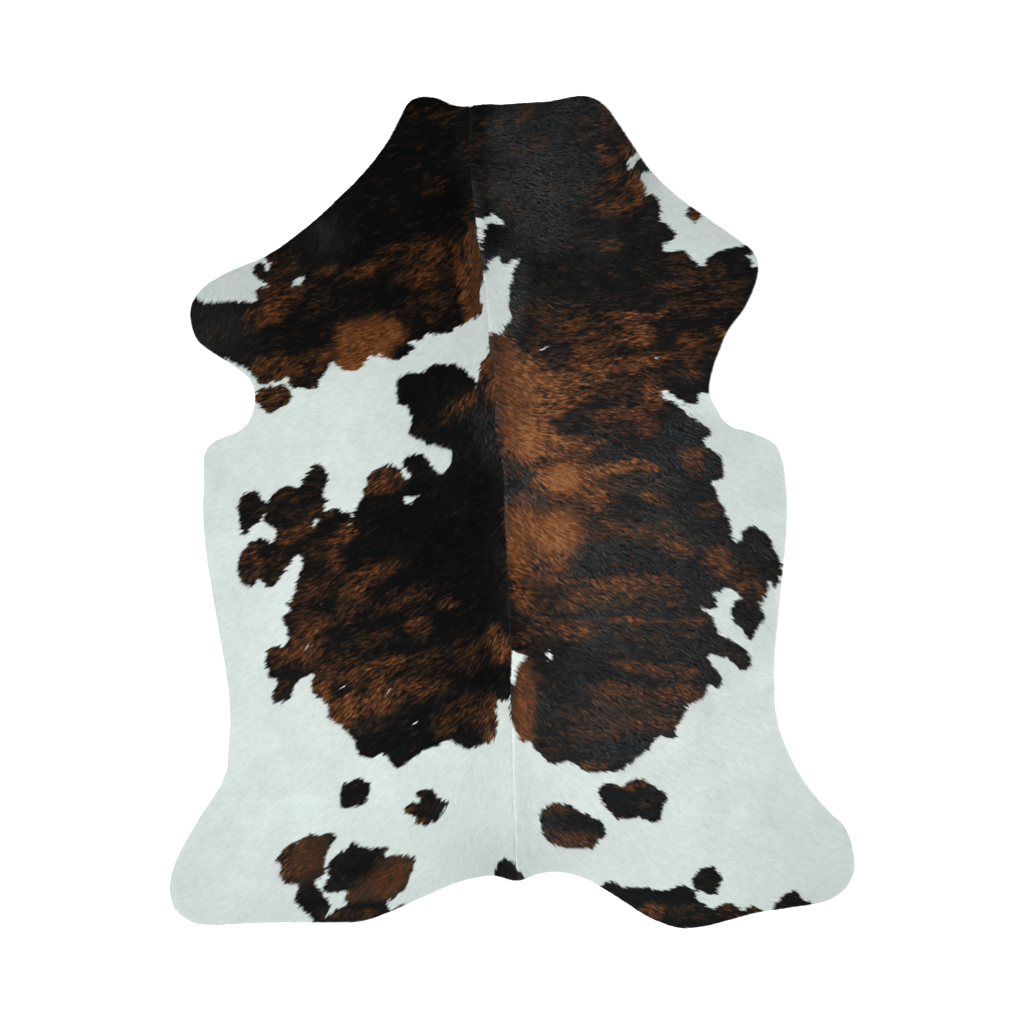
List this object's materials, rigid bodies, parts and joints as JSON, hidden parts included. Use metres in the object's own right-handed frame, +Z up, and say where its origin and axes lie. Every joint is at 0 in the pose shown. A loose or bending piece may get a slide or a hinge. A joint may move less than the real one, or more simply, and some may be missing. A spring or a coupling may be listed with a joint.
{
  "type": "cowhide rug",
  "caption": "Whole hair-on cowhide lying flat as a rug, with a trimmed neck edge, foreleg and hind leg lobes and a shallow tail notch.",
  "frame": {"origin": "middle of the hide's box, on the floor that it lies on", "axes": "+Z up through the hair side, +Y along the backbone towards the neck, +X towards the lobe side on the right when seen from above"},
  "size_m": [1.816, 2.202, 0.0117],
  "materials": {
    "hair_on_hide": "white short hair with black and brindled brown patches, suede flesh side"
  },
  "bodies": {
    "root": {"hide": "hair_on_hide"}
  },
  "joints": []
}
